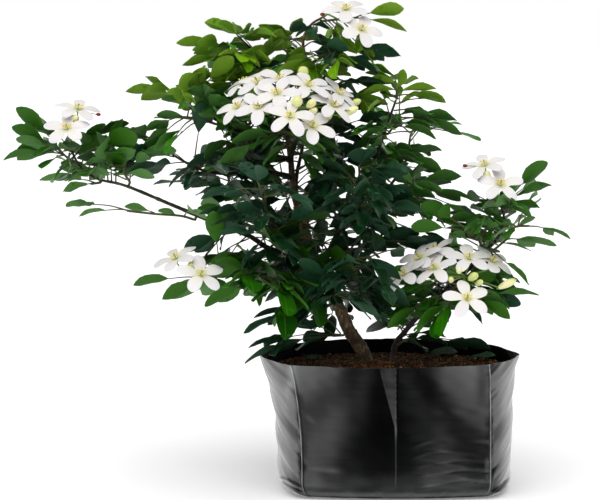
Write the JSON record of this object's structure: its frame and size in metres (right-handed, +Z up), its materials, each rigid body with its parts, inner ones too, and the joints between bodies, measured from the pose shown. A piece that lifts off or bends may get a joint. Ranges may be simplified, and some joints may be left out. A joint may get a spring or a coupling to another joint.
{
  "type": "potted flowering shrub",
  "caption": "Young orange jasmine shrub with leafy sprays and white flower heads, rooted in the soil of a black film grow bag with a flat base and an oval mouth.",
  "frame": {"origin": "centre of the bag's flat base, on the surface that it stands on", "axes": "+X to the viewer's right across the bag's wide front, -Y towards the viewer, +Z up"},
  "size_m": [0.5578, 0.3449, 0.4916],
  "materials": {
    "film": "gloss",
    "soil": "matte",
    "bark": "matte",
    "dark_bark": "matte",
    "leaf_young": "satin",
    "leaf_bright": "satin",
    "leaf_mid": "satin",
    "leaf_deep": "satin",
    "petal": "matte"
  },
  "bodies": {
    "root": {"grow_bag": "film", "potting_soil": "soil", "trunk": "bark", "second_stem": "dark_bark", "flower_head_left": "petal", "flower_head_top": "petal", "flower_head_right": "petal", "flower_head_low_left": "petal", "flower_head_centre": "petal", "flower_head_low_right": "petal", "leafy_spray_01": "leaf_young", "leafy_spray_02": "leaf_young", "leafy_spray_03": "leaf_young", "leafy_spray_04": "leaf_mid", "leafy_spray_05": "leaf_mid", "leafy_spray_06": "leaf_young", "leafy_spray_07": "leaf_deep", "leafy_spray_08": "leaf_deep", "leafy_spray_09": "leaf_young", "leafy_spray_10": "leaf_young", "leafy_spray_11": "leaf_mid", "leafy_spray_12": "leaf_mid", "leafy_spray_13": "leaf_mid", "leafy_spray_14": "leaf_deep", "leafy_spray_15": "leaf_bright", "leafy_spray_16": "leaf_mid", "leafy_spray_17": "leaf_mid", "leafy_spray_18": "leaf_bright", "leafy_spray_19": "leaf_deep", "leafy_spray_20": "leaf_deep", "leafy_spray_21": "leaf_bright", "leafy_spray_22": "leaf_deep", "leafy_spray_23": "leaf_deep", "leafy_spray_24": "leaf_deep", "leafy_spray_25": "leaf_bright", "leafy_spray_26": "leaf_bright", "leafy_spray_27": "leaf_deep", "leafy_spray_28": "leaf_mid", "leafy_spray_29": "leaf_mid", "leafy_spray_30": "leaf_mid", "leafy_spray_31": "leaf_bright", "leafy_spray_32": "leaf_mid", "leafy_spray_33": "leaf_deep", "leafy_spray_34": "leaf_deep", "leafy_spray_35": "leaf_deep", "leafy_spray_36": "leaf_mid", "leafy_spray_37": "leaf_deep", "leafy_spray_38": "leaf_deep", "leafy_spray_39": "leaf_deep", "leafy_spray_40": "leaf_deep", "leafy_spray_41": "leaf_deep", "leafy_spray_42": "leaf_deep", "leafy_spray_43": "leaf_mid", "leafy_spray_44": "leaf_deep", "leafy_spray_45": "leaf_mid", "leafy_spray_46": "leaf_deep", "leafy_spray_47": "leaf_mid", "leafy_spray_48": "leaf_deep", "leafy_spray_49": "leaf_deep"}
  },
  "joints": []
}
